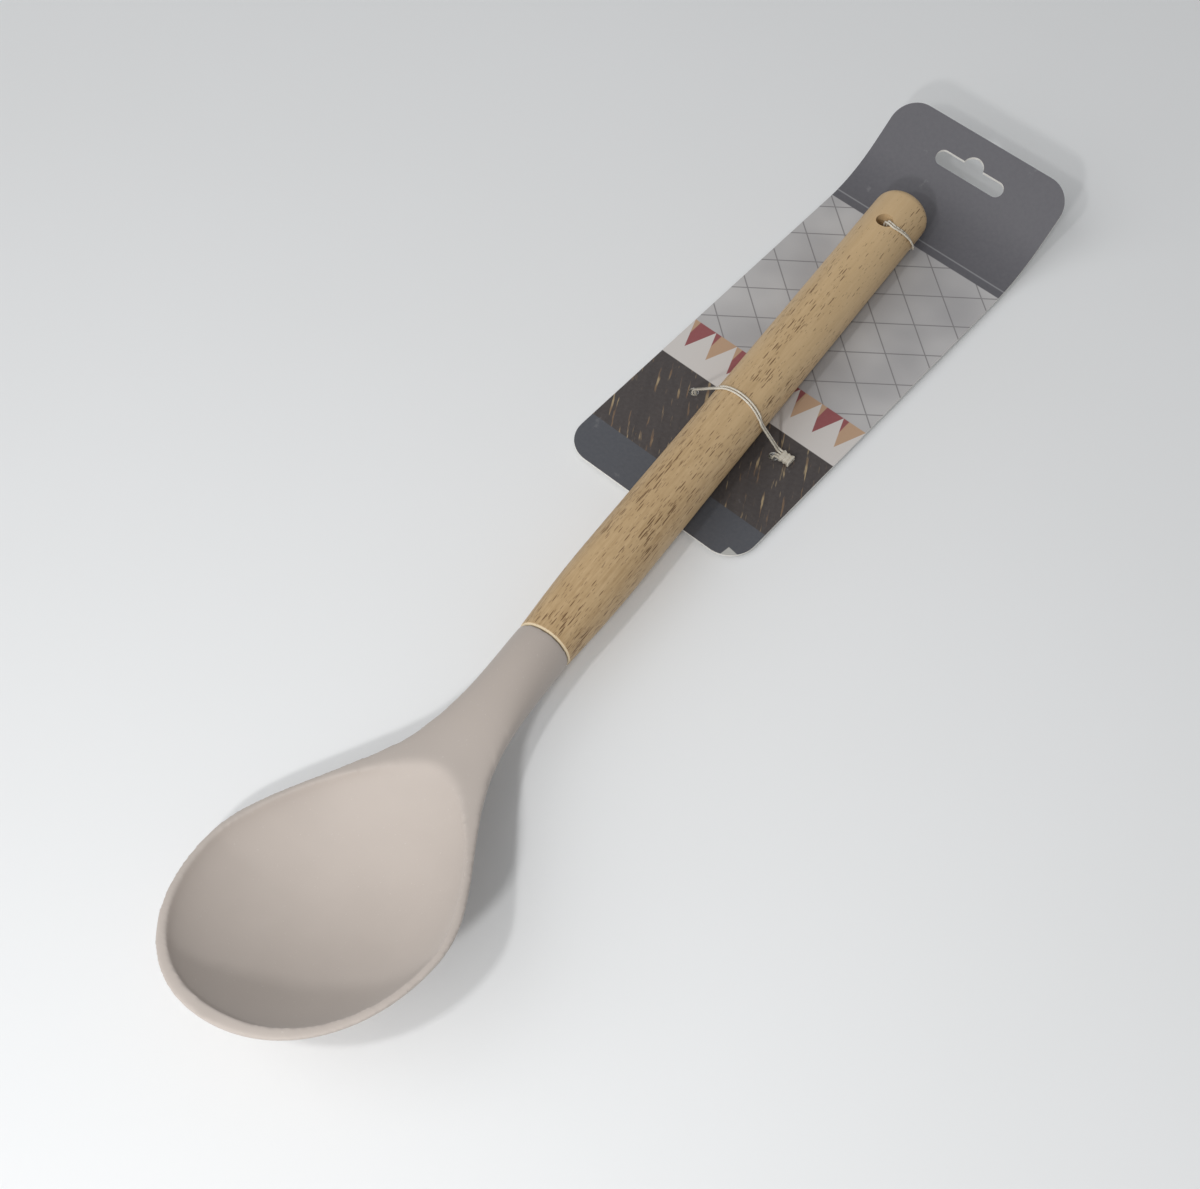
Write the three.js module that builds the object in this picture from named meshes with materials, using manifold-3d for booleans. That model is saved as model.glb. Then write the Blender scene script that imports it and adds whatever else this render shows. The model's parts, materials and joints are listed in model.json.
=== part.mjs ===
// A silicone spoon with a turned wooden handle, tied to its paperboard card and lying on a table.
// Millimetres and degrees, +Z up. The handle's axis runs along +Y, with the bowl towards -Y.
import * as THREE from 'three';
import Module from 'manifold-3d';
import { ParametricGeometry } from 'three/addons/geometries/ParametricGeometry.js';
import { mergeVertices } from 'three/addons/utils/BufferGeometryUtils.js';

const wasm = await Module();
wasm.setup();

// Handle: turned wood, thickest a little behind the joint, distances taken from the joint
const handleLength = 195.7;
const handleJointRadius = 8;
const handleSwellRadius = 9.1;
const handleSwellAt = 31;
const handleGripRadius = 8.9;
const handleGripAt = 100;
const handleEndRound = 4;
const handleJointChamfer = 0.5;
const hangHoleRadius = 2.7;
const hangHoleFromButt = 16.4;

// Silicone head: outline, underside and hollow, distances taken from the joint towards the tip
const headLength = 130.5;
const neckRadius = 8;
const neckFlare = 1.6;
const neckBendLength = 53;
const bowlTilt = 5.5;
const bowlWidth = 74.8;
const bowlWidestAt = 90;
const bowlDepth = 23;
const bowlDeepestAt = 88;
const bowlHollowDepth = 17.5;
const mouthFromJoint = 45.8;
const rimSideWidth = 2.3;
const rimTipWidth = 3.6;
const rimRound = 1;
// The head is set in the handle turned away from the line of the hanging hole
const headTurn = 15.7;

// Shape of the curves: 2 is an ellipse, and a higher shoulder power keeps the neck slim for longer
const tipPower = 2.12;
const mouthNeckPower = 1.5;
const shoulderPower = 1.6;
const keelPower = 1.9;
// Bowl section: 0.5 is a half ellipse, 1 a parabola with sloping walls
const neckSection = 0.5;
const bowlSection = 0.85;
const hollowSection = 0.7;

// Stiff core: blade in the bowl's floor, stem in the neck, round tang in the handle's socket
const tangRadius = 3.75;
const tangLength = 40;
const bladeWidth = 46;
const bladeThickness = 1.4;
const bladeTipMargin = 22;
const stemLength = 55;
const bladeShoulderPower = 2.2;

// Paperboard card, flat under the handle, with its header bent up
const cardWidth = 64;
const cardLength = 172;
const cardThickness = 0.6;
const cardCorner = 9;
const cardOverlap = 133.8;
const cardShift = -7.7;
const cardTurn = -6.3;
const headerBendAt = 129.4;
const headerBendRadius = 39;
const headerAngle = 36.7;
const slotWidth = 25;
const slotHeight = 5;
const slotEndRadius = 2.49;
const slotBumpRadius = 3.6;
const slotBumpRise = 2.8;
const slotFromTop = 9;

// Clear ties and the sleeves that close them
const tieRadius = 0.6;
const tieHoleRadius = 1.5;
const tieCorner = 1.6;
const lowerLoopAt = 34.5;
const lowerTieLeft = -15;
const lowerTieLeftAt = 40;
const lowerTieRight = 17;
const lowerTieRightAt = 38.2;
const upperTieFlank = 4.5;
const upperTieDrift = 8;
const upperTieSlant = 0.8;
const upperTieTurnFrom = 68;
const tieSlack = 0.1;
const crimpLength = 3.8;
const crimpWidth = 3.6;
const crimpHeight = 2.2;
const crimpRound = 0.5;
const crimpStrandOffset = 0.9;
const upperCrimpAt = 147;

// Clearances between pieces that touch
const seatGap = 0.3;
const socketEndGap = 0.6;

// How far a cutting shape runs past what it cuts
const overcut = 2;

// How finely round shapes are cut into flat faces, round the piece and along it
const headSegments = 40;
const headStations = 36;
const hollowSegments = 36;
const hollowStations = 26;
const coreSegments = 20;
const coreStations = 34;
const handleSegments = 40;
const holeSegments = 24;
const cornerSegments = 8;
const circleSegments = 16;
const tieSegments = 8;
const tieTurnStep = 16;

const radians = THREE.MathUtils.degToRad;
const clamp = THREE.MathUtils.clamp;
const lerp = THREE.MathUtils.lerp;
const cardLift = tieRadius * 2 + seatGap + tieSlack;
const cardTop = cardLift + cardThickness;
const hangHoleAt = handleLength - hangHoleFromButt;
const lowerCrimpFace = lowerTieRight + 2 * tieRadius + seatGap;

// Closed geometry to solid: shared vertices merged, empty triangles dropped, faces turned outwards
function solid(geometry) {
  geometry.deleteAttribute('normal');
  geometry.deleteAttribute('uv');
  const merged = mergeVertices(geometry, 1e-4);
  const corners = merged.attributes.position.array;
  const corner = (i) => new THREE.Vector3().fromArray(corners, 3 * i);
  const faces = [];
  let volume = 0;
  for (let i = 0; i < merged.index.count; i += 3) {
    const [a, b, c] = merged.index.array.slice(i, i + 3);
    if (a === b || b === c || c === a) continue;
    faces.push([a, b, c]);
    volume += corner(a).dot(corner(b).cross(corner(c)));
  }
  const outward = faces.map(([a, b, c]) => (volume > 0 ? [a, b, c] : [a, c, b]));
  return new wasm.Manifold(new wasm.Mesh({
    numProp: 3,
    vertProperties: new Float32Array(corners),
    triVerts: new Uint32Array(outward.flat()),
  }));
}

function toGeometry(manifold) {
  const mesh = manifold.getMesh();
  const geometry = new THREE.BufferGeometry();
  geometry.setAttribute('position', new THREE.BufferAttribute(new Float32Array(mesh.vertProperties), 3));
  geometry.setIndex(new THREE.BufferAttribute(new Uint32Array(mesh.triVerts), 1));
  return geometry;
}

function piece(name, shape, color, roughness) {
  const material = new THREE.MeshStandardMaterial({ color, roughness, metalness: 0 });
  const mesh = new THREE.Mesh(shape, material);
  mesh.name = name;
  return mesh;
}

// One quarter of a rounded curve, from 1 at the middle to 0 at the edge
function quarter(t, power = 2) {
  return (1 - clamp(Math.abs(t), 0, 1) ** power) ** (1 / power);
}

// Smooth rise from 0 to 1
function rise(t, power = 1) {
  return Math.sin((Math.PI / 2) * clamp(t, 0, 1) ** power) ** 2;
}

// Head outline, as functions of the distance d from the joint
function rimHeight(d) {
  const slope = Math.tan(radians(bowlTilt));
  return d < neckBendLength ? (slope * d * d) / (2 * neckBendLength) : slope * (d - neckBendLength / 2);
}

function halfWidth(d) {
  if (d >= bowlWidestAt) {
    return (bowlWidth / 2) * quarter((d - bowlWidestAt) / (headLength - bowlWidestAt), tipPower);
  }
  const t = d / bowlWidestAt;
  return neckRadius + neckFlare * t + (bowlWidth / 2 - neckRadius - neckFlare) * rise(t, shoulderPower);
}

// Share of the full depth at a place across a section, from 1 in the middle to 0 at the rim
function sectionShare(across, d) {
  const power = lerp(neckSection, bowlSection, rise(d / bowlWidestAt));
  return (1 - clamp(across * across, 0, 1)) ** power;
}

function undersideDepth(d) {
  const t = (d - bowlDeepestAt) / (headLength - bowlDeepestAt);
  if (t >= 0) return bowlDepth * sectionShare(t, headLength);
  return neckRadius + (bowlDepth - neckRadius) * rise(d / bowlDeepestAt, keelPower);
}

function crownHeight(d) {
  return lerp(neckRadius, rimRound, rise(d / mouthFromJoint));
}

// Hollow of the bowl: half width of its mouth, and depth of its floor below the rim
function mouthHalfWidth(d) {
  const widest = bowlWidth / 2 - rimSideWidth;
  if (d >= bowlWidestAt) {
    return widest * quarter((d - bowlWidestAt) / (headLength - rimTipWidth - bowlWidestAt), tipPower);
  }
  return widest * quarter((bowlWidestAt - d) / (bowlWidestAt - mouthFromJoint), mouthNeckPower);
}

// The hollow has steeper sides and a flatter floor than the underside
function hollowShare(across) {
  return (1 - clamp(across * across, 0, 1)) ** hollowSection;
}

function hollowDepth(d) {
  const tip = (d - bowlWidestAt) / (headLength - rimTipWidth - bowlWidestAt);
  if (tip >= 0) return bowlHollowDepth * hollowShare(tip);
  const t = clamp((d - mouthFromJoint) / (bowlWidestAt - mouthFromJoint), 0, 1);
  return bowlHollowDepth * Math.sin((Math.PI / 2) * t);
}

// Height of the middle of the silicone wall, where the core lies
function wallMiddle(x, d) {
  const across = x / Math.max(halfWidth(d), 1);
  const top = crownHeight(d) * quarter(across);
  const floor = top - hollowDepth(d) * hollowShare(x / Math.max(mouthHalfWidth(d), 1));
  const underside = -undersideDepth(d) * sectionShare(across, d);
  return rimHeight(d) + (floor + underside) / 2;
}

// Distance along the head for a share 0 to 1, closer together towards a rounded end
function easedStation(share, from, widest, to) {
  const turn = 0.6;
  if (share < turn) return lerp(from, widest, share / turn);
  return lerp(widest, to, Math.sin(((Math.PI / 2) * (share - turn)) / (1 - turn)));
}

function headBody() {
  const surface = (u, v, target) => {
    const share = clamp((v * headStations - 1) / (headStations - 1), 0, 1);
    const d = easedStation(share, 0, bowlWidestAt, headLength);
    const across = Math.cos(2 * Math.PI * u);
    const crown = crownHeight(d) * quarter(across);
    const underside = -undersideDepth(d) * sectionShare(across, d);
    const z = v === 0 ? 0 : rimHeight(d) + (u < 0.5 ? crown : underside);
    target.set(v === 0 ? 0 : halfWidth(d) * across, -d, z);
  };
  return solid(new ParametricGeometry(surface, headSegments, headStations));
}

// The hollow runs on above the rim, so that it cuts the mouth open
function bowlHollow() {
  const above = rimRound + overcut;
  const end = headLength - rimTipWidth;
  const surface = (u, v, target) => {
    const d = easedStation(v, mouthFromJoint, bowlWidestAt, end);
    const mouth = mouthHalfWidth(d);
    const across = Math.cos(2 * Math.PI * u);
    let x = mouth * across;
    let z = -hollowDepth(d) * hollowShare(across);
    if (u > 0.5) {
      const lap = 6 * (u - 0.5);
      x = mouth * clamp(2 * lap - 3, -1, 1);
      z = above * Math.min(lap, 3 - lap, 1);
    }
    target.set(x, -d, rimHeight(d) + z);
  };
  return solid(new ParametricGeometry(surface, hollowSegments, hollowStations));
}

// Core with its tang, grown all round by a clearance where it makes the pocket in the silicone
function coreBody(grow, tangReach) {
  const bladeEnd = headLength - bladeTipMargin;
  const tangShare = 0.1;
  const surface = (u, v, target) => {
    const angle = 2 * Math.PI * u;
    const share = clamp((v * coreStations - 1) / (coreStations - 1), 0, 1);
    const along = (share - tangShare) / (1 - tangShare);
    const d = along < 0 ? lerp(0, -tangReach, -along * (1 / tangShare - 1))
      : easedStation(along, 0, bowlDeepestAt, bladeEnd + grow);
    const reach = Math.max(d, 0);
    const blade = reach > bowlDeepestAt
      ? (bladeWidth / 2 + grow) * quarter((reach - bowlDeepestAt) / (bladeEnd + grow - bowlDeepestAt))
      : grow + lerp(tangRadius, bladeWidth / 2, rise(reach / bowlDeepestAt, bladeShoulderPower));
    const thick = grow + lerp(tangRadius, bladeThickness / 2, rise(reach / stemLength));
    const x = v === 0 ? 0 : blade * Math.cos(angle);
    const middle = d > 0 ? wallMiddle(x, d) : 0;
    target.set(x, -d, v === 0 ? 0 : middle + thick * Math.sin(angle));
  };
  return solid(new ParametricGeometry(surface, coreSegments, coreStations));
}

function siliconeHead() {
  const pocket = coreBody(seatGap, overcut);
  return toGeometry(headBody().subtract(bowlHollow()).subtract(pocket));
}

// Handle radius at a distance from the joint, before the rounding of the butt
function handleRadius(s) {
  if (s < handleSwellAt) {
    return lerp(handleJointRadius, handleSwellRadius, Math.sin(((Math.PI / 2) * s) / handleSwellAt));
  }
  const past = (s - handleSwellAt) / (handleGripAt - handleSwellAt);
  return lerp(handleSwellRadius, handleGripRadius, rise(past));
}

function turnedHandle() {
  const socketRadius = tangRadius + seatGap;
  const socketDepth = tangLength + socketEndGap;
  const start = seatGap;
  const roundFrom = handleLength - handleEndRound;
  const flat = handleRadius(handleLength) - handleEndRound;
  const profile = [
    new THREE.Vector2(0, socketDepth),
    new THREE.Vector2(socketRadius, socketDepth),
    new THREE.Vector2(socketRadius, start),
    new THREE.Vector2(handleRadius(start) - handleJointChamfer, start),
  ];
  const swellSteps = 8;
  for (let i = 0; i <= swellSteps; i += 1) {
    const s = lerp(start + handleJointChamfer, handleSwellAt, i / swellSteps);
    profile.push(new THREE.Vector2(handleRadius(s), s));
  }
  const gripSteps = 6;
  for (let i = 1; i <= gripSteps; i += 1) {
    const s = lerp(handleSwellAt, Math.min(handleGripAt, roundFrom), i / gripSteps);
    profile.push(new THREE.Vector2(handleRadius(s), s));
  }
  const roundSteps = 6;
  for (let i = 0; i <= roundSteps; i += 1) {
    const turn = (Math.PI / 2) * (i / roundSteps);
    profile.push(new THREE.Vector2(
      flat + handleEndRound * Math.cos(turn),
      roundFrom + handleEndRound * Math.sin(turn),
    ));
  }
  profile.push(new THREE.Vector2(0, handleLength));
  const through = 4 * handleGripRadius;
  const hole = new THREE.CylinderGeometry(hangHoleRadius, hangHoleRadius, through, holeSegments);
  hole.rotateX(Math.PI / 2);
  hole.translate(0, hangHoleAt, 0);
  const wood = new THREE.LatheGeometry(profile, handleSegments);
  return toGeometry(solid(wood).subtract(solid(hole)));
}

// Side view of the card: distance along it to its run on the table and its height
function bent(along) {
  const angle = clamp((along - headerBendAt) / headerBendRadius, 0, radians(headerAngle));
  const straight = Math.max(0, along - headerBendAt - headerBendRadius * radians(headerAngle));
  const curved = headerBendRadius * Math.sin(angle);
  const run = Math.min(along, headerBendAt) + curved + straight * Math.cos(angle);
  const height = headerBendRadius * (1 - Math.cos(angle)) + straight * Math.sin(angle);
  return { run, height, angle };
}

function bentSlab() {
  const bendEnd = headerBendAt + headerBendRadius * radians(headerAngle);
  const bendSteps = 8;
  const stops = [-overcut];
  for (let i = 0; i <= bendSteps; i += 1) stops.push(lerp(headerBendAt, bendEnd, i / bendSteps));
  stops.push(Math.max(bendEnd, cardLength) + overcut);
  const under = stops.map((along) => new THREE.Vector2(bent(along).run, bent(along).height));
  const over = stops.map((along, i) => under[i].clone().add(new THREE.Vector2(
    -Math.sin(bent(along).angle),
    Math.cos(bent(along).angle),
  ).multiplyScalar(cardThickness)));
  const side = new THREE.Shape([...under, ...over.reverse()]);
  const slab = new THREE.ExtrudeGeometry(side, { depth: cardWidth + 2 * overcut, bevelEnabled: false });
  slab.translate(0, 0, -cardWidth / 2 - overcut);
  const toCard = new THREE.Matrix4().makeBasis(
    new THREE.Vector3(0, 1, 0),
    new THREE.Vector3(0, 0, 1),
    new THREE.Vector3(1, 0, 0),
  );
  return solid(slab.applyMatrix4(toCard));
}

// An outline drawn on the flat card, seen from above once the header is bent, cut right through
function throughCut(outline) {
  const seen = outline.map((p) => new THREE.Vector2(p.x, bent(p.y).run));
  const tall = bent(cardLength).height + 2 * overcut;
  const cut = new THREE.ExtrudeGeometry(new THREE.Shape(seen), { depth: tall, bevelEnabled: false });
  cut.translate(0, 0, -overcut);
  return solid(cut);
}

function roundedRectangle(width, height, radius) {
  const shape = new THREE.Shape();
  const x = width / 2 - radius;
  shape.absarc(x, radius, radius, -Math.PI / 2, 0);
  shape.absarc(x, height - radius, radius, 0, Math.PI / 2);
  shape.absarc(-x, height - radius, radius, Math.PI / 2, Math.PI);
  shape.absarc(-x, radius, radius, Math.PI, 1.5 * Math.PI);
  return shape.getPoints(cornerSegments);
}

function circle(x, y, radius) {
  const shape = new THREE.Shape();
  shape.absarc(x, y, radius, 0, 2 * Math.PI);
  return shape.getPoints(circleSegments);
}

function backingCard(tieHoles) {
  const slotAt = cardLength - slotFromTop - slotHeight / 2;
  const slot = roundedRectangle(slotWidth, slotHeight, slotEndRadius);
  const cuts = [slot.map((p) => new THREE.Vector2(p.x, p.y + slotAt - slotHeight / 2))];
  const bumpAt = slotAt + slotHeight / 2 + slotBumpRise - slotBumpRadius;
  cuts.push(circle(0, bumpAt, slotBumpRadius));
  tieHoles.forEach((hole) => cuts.push(circle(hole.x, hole.y, tieHoleRadius)));
  let card = bentSlab().intersect(throughCut(roundedRectangle(cardWidth, cardLength, cardCorner)));
  cuts.forEach((outline) => {
    card = card.subtract(throughCut(outline));
  });
  return toGeometry(card);
}

// Straight runs joined by round corners, no corner reaching past the middle of its runs
function roundedPath(points) {
  const path = new THREE.CurvePath();
  let from = points[0];
  for (let i = 1; i < points.length - 1; i += 1) {
    const corner = points[i];
    const before = points[i - 1].clone().sub(corner);
    const after = points[i + 1].clone().sub(corner);
    const cutBefore = Math.min(tieCorner, before.length() / 2);
    const cutAfter = Math.min(tieCorner, after.length() / 2);
    const start = corner.clone().add(before.setLength(cutBefore));
    const end = corner.clone().add(after.setLength(cutAfter));
    path.add(new THREE.LineCurve3(from, start));
    path.add(new THREE.QuadraticBezierCurve3(start, corner, end));
    from = end;
  }
  path.add(new THREE.LineCurve3(from, points[points.length - 1]));
  return path;
}

function tieTube(points) {
  const section = new THREE.Shape();
  section.absarc(0, 0, tieRadius, 0, 2 * Math.PI);
  const path = roundedPath(points);
  const steps = Math.round(path.getLength() / tieRadius / 2.2);
  // An arc gets twice as many faces as are asked for
  const curveSegments = tieSegments / 2;
  const tube = new THREE.ExtrudeGeometry(section, { steps, extrudePath: path, curveSegments });
  return toGeometry(solid(tube));
}

// Points round the handle from one angle to another, drifting along it between two places of its axis
function roundHandle(fromCentre, toCentre, radius, fromAngle, toAngle) {
  const steps = Math.ceil(Math.abs(toAngle - fromAngle) / radians(tieTurnStep));
  return Array.from({ length: steps + 1 }, (_, i) => {
    const angle = lerp(fromAngle, toAngle, i / steps);
    const centre = fromCentre.clone().lerp(toCentre, i / steps);
    return centre.add(new THREE.Vector3(radius * Math.cos(angle), 0, radius * Math.sin(angle)));
  });
}

// Angle at which a taut thread leaves the round handle for a point beside it
function leavingAngle(centre, radius, point, side) {
  const dx = point.x - centre.x;
  const dz = point.z - centre.z;
  return Math.atan2(dz, dx) + side * Math.acos(radius / Math.hypot(dx, dz));
}

function crimpSleeve() {
  const section = new THREE.Shape(roundedRectangle(crimpWidth, crimpHeight, crimpRound));
  const sleeve = new THREE.ExtrudeGeometry(section, { depth: crimpLength, bevelEnabled: false });
  sleeve.translate(0, 0, -crimpLength / 2);
  return toGeometry(solid(sleeve));
}

// The spoon lies on its turned bowl and on its butt, which sets the slope of the handle
function spoonSlope() {
  const d = bowlDeepestAt;
  const turn = radians(headTurn);
  const places = Array.from({ length: 2 * headSegments + 1 }, (_, i) => i / headSegments - 1);
  const bowlDrop = Math.max(...places.map((across) => (
    undersideDepth(d) * sectionShare(across, d) - rimHeight(d)) * Math.cos(turn)
    - across * halfWidth(d) * Math.sin(turn)));
  const buttDrop = handleRadius(handleLength) + seatGap + cardTop;
  return Math.asin((bowlDrop - buttDrop) / (bowlDeepestAt + handleLength - handleEndRound));
}

function spoonAssembly() {
  const head = new THREE.Group();
  head.rotation.y = -radians(headTurn);
  head.add(piece('silicone_head', siliconeHead(), 0xc3bab1, 0.75));
  head.add(piece('head_core', toGeometry(coreBody(0, tangLength)), 0x8d8f92, 0.55));
  const spoon = new THREE.Group();
  spoon.add(head, piece('handle', turnedHandle(), 0xa98f6a, 0.5));
  spoon.rotation.x = -spoonSlope();
  spoon.position.z = -new THREE.Box3().setFromObject(spoon, true).min.z;
  spoon.updateMatrixWorld(true);
  return spoon;
}

// Radius at which a tie goes round the handle
function tieTurnRadius(s) {
  return handleRadius(s) + seatGap + tieRadius;
}

// Where the ties go through the card; onCard gives a point of the spoon as seen from the card
function tieHoles(onCard) {
  const under = onCard(-upperTieSlant, hangHoleAt, -tieTurnRadius(hangHoleAt));
  const flank = onCard(0, hangHoleAt + upperTieDrift, 0);
  return {
    left: new THREE.Vector3(lowerTieLeft, lowerTieLeftAt, cardTop),
    right: new THREE.Vector3(lowerTieRight, lowerTieRightAt - crimpStrandOffset, cardTop),
    under: new THREE.Vector3(under.x, under.y, cardTop),
    flank: new THREE.Vector3(flank.x + upperTieFlank, flank.y, cardTop),
  };
}

// Lower tie: over the handle, down its left hole, behind the card and up its right hole
function lowerTieRoute(onCard, holes) {
  const joint = onCard(0, 0, 0);
  const axis = onCard(0, handleLength, 0).sub(joint);
  const share = (lowerLoopAt - joint.y) / axis.y;
  const centre = joint.clone().addScaledVector(axis, share);
  const radius = tieTurnRadius(share * handleLength);
  const left = holes.left.clone().setZ(cardTop + 2 * tieRadius);
  const lead = new THREE.Vector3(lowerTieRight, lowerTieRightAt, cardTop + seatGap + crimpHeight / 2);
  const entry = lead.clone().setX(lowerCrimpFace);
  const strand = new THREE.Vector3(0, crimpStrandOffset, 0);
  const rightLeave = leavingAngle(centre, radius, lead, 1);
  const leftLeave = leavingAngle(centre, radius, left, -1) + 2 * Math.PI;
  return [
    entry.clone().add(strand),
    lead.clone().add(strand),
    ...roundHandle(centre, centre, radius, rightLeave, leftLeave),
    left,
    left.clone().setZ(tieRadius),
    lead.clone().sub(strand).setZ(tieRadius),
    lead.clone().sub(strand),
    entry.clone().sub(strand),
  ];
}

// Middle of the sleeve behind the card that closes the upper tie
function upperCrimpMiddle(onCard) {
  return new THREE.Vector3(onCard(0, hangHoleAt, 0).x + upperTieFlank / 2, upperCrimpAt, crimpHeight / 2);
}

// Upper tie: up through the hanging hole, over the right flank, through the card and back behind it
function upperTieRoute(onCard, holes) {
  const centre = onCard(0, hangHoleAt, 0);
  const flankCentre = onCard(0, hangHoleAt + upperTieDrift, 0);
  const radius = tieTurnRadius(hangHoleAt);
  const leave = leavingAngle(flankCentre, radius, holes.flank, 1);
  const entry = upperCrimpMiddle(onCard);
  entry.y -= crimpLength / 2 + seatGap;
  const strand = new THREE.Vector3(crimpStrandOffset, 0, 0);
  return [
    entry.clone().sub(strand),
    holes.under.clone().setZ(tieRadius),
    onCard(upperTieSlant, hangHoleAt, radius),
    ...roundHandle(centre, flankCentre, radius, radians(upperTieTurnFrom), leave),
    holes.flank,
    holes.flank.clone().setZ(tieRadius),
    entry.clone().add(strand),
  ];
}

function lowerCrimp() {
  const sleeve = piece('lower_tie_crimp', crimpSleeve(), 0xdfe3e4, 0.25);
  sleeve.rotation.set(Math.PI / 2, 0, Math.PI / 2, 'ZYX');
  sleeve.position.set(lowerCrimpFace + seatGap + crimpLength / 2, lowerTieRightAt, cardTop + seatGap);
  return sleeve;
}

function upperCrimp(onCard) {
  const sleeve = piece('upper_tie_crimp', crimpSleeve(), 0xdfe3e4, 0.25);
  sleeve.rotation.x = Math.PI / 2;
  sleeve.position.copy(upperCrimpMiddle(onCard)).setZ(0);
  return sleeve;
}

// Card with its ties, in a frame whose x runs across the card and y along it from its lower edge
function cardAssembly(spoon) {
  const tied = new THREE.Group();
  tied.position.set(cardShift, (handleLength - cardOverlap) * Math.cos(spoonSlope()), 0);
  tied.rotation.z = radians(cardTurn);
  tied.updateMatrixWorld(true);
  const onCard = (x, y, z) => tied.worldToLocal(spoon.localToWorld(new THREE.Vector3(x, y, z)));
  const holes = tieHoles(onCard);
  const card = piece('backing_card', backingCard(Object.values(holes)), 0x6b6a6f, 0.6);
  card.position.z = cardLift;
  tied.add(card, lowerCrimp(), upperCrimp(onCard));
  tied.add(piece('lower_tie', tieTube(lowerTieRoute(onCard, holes)), 0xe6e9ea, 0.2));
  tied.add(piece('upper_tie', tieTube(upperTieRoute(onCard, holes)), 0xe6e9ea, 0.2));
  return tied;
}

// The whole part stands with the middle of its base at the origin
const spoon = spoonAssembly();
const spoonOnCard = new THREE.Group();
spoonOnCard.add(spoon, cardAssembly(spoon));
const base = new THREE.Box3().setFromObject(spoonOnCard, true);
const middle = base.getCenter(new THREE.Vector3());
spoonOnCard.position.set(-middle.x, -middle.y, -base.min.z);

export default spoonOnCard;
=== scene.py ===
# %% [markdown]
# A silicone spoon with a round wooden handle lies on a pale table, still tied to its paperboard card.
# The measured solids come in first as a fixed frame, in metres, and every piece made here is laid over
# them. Nothing in the frame is moved, so the dressed spoon keeps the size and the joint of the measured one.

# %% Load the measured solids
import json
import math

import bmesh
import bpy
from mathutils import Matrix, Vector


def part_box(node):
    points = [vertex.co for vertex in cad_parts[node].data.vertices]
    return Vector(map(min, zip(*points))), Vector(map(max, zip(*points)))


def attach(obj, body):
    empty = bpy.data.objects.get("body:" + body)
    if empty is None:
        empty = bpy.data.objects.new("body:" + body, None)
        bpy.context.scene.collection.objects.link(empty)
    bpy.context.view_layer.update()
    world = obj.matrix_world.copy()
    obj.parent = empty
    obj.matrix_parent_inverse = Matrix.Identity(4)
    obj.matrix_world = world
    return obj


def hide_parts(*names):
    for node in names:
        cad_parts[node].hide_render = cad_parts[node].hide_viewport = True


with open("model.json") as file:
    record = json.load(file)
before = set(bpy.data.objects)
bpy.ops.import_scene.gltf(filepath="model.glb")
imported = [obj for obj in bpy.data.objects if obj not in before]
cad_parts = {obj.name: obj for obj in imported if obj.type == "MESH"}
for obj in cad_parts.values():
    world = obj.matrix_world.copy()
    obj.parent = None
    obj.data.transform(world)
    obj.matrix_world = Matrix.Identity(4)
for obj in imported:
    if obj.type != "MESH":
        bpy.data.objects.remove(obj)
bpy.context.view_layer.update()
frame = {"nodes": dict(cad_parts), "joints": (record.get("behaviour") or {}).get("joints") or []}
MM = 0.001
scene = bpy.context.scene
scene.view_settings.view_transform = "Standard"

# %% [markdown]
# The camera comes before any looks, because every look is seen from it.
# It could be placed by eye, but the spoon's outlines were fitted instead, which gave a point to aim at,
# a distance, an azimuth, an elevation, a small roll and a focal length in pixels of the picture.

# %% Camera at the photograph's view
PICTURE_WIDTH = 1200
FOCAL_PIXELS = 1891.6
AIM = Vector((-3.5, -19.8, 0.0)) * MM
CAMERA_DISTANCE = 523.2 * MM
AZIMUTH = math.radians(31.02)
ELEVATION = math.radians(58.24)
ROLL = math.radians(3.76)


def direction(azimuth, elevation):
    flat = math.cos(elevation)
    return Vector((math.sin(azimuth) * flat, -math.cos(azimuth) * flat, math.sin(elevation)))


towards_camera = direction(AZIMUTH, ELEVATION)
level_right = Vector((0, 0, 1)).cross(towards_camera).normalized()
level_up = towards_camera.cross(level_right)
right = math.cos(ROLL) * level_right + math.sin(ROLL) * level_up
up = towards_camera.cross(right)
camera_data = bpy.data.cameras.new("photo_view")
camera_data.sensor_fit = "HORIZONTAL"
camera_data.sensor_width = 36
camera_data.lens = FOCAL_PIXELS / PICTURE_WIDTH * camera_data.sensor_width
camera_data.clip_start = 0.01
camera = bpy.data.objects.new("photo_view", camera_data)
camera.matrix_world = Matrix.Translation(AIM + CAMERA_DISTANCE * towards_camera) @ Matrix(
    (right, up, towards_camera)
).transposed().to_4x4()
scene.collection.objects.link(camera)
scene.camera = camera
camera_spot = [round(c, 3) for c in camera.matrix_world.translation]
print("camera at", camera_spot, "lens", round(camera_data.lens, 1))

# %% [markdown]
# Finishes are built from shader nodes, and node trees are easier to read as sums than as lists of links.
# This small class wraps an output socket: plus, minus and times on it add Math nodes, and one method
# makes every other node from its type, its settings and what goes into its sockets.

# %% Shader sums
def srgb(red, green, blue):
    def linear(value):
        value /= 255
        return value / 12.92 if value < 0.04045 else ((value + 0.055) / 1.055) ** 2.4
    return (linear(red), linear(green), linear(blue), 1.0)


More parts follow.
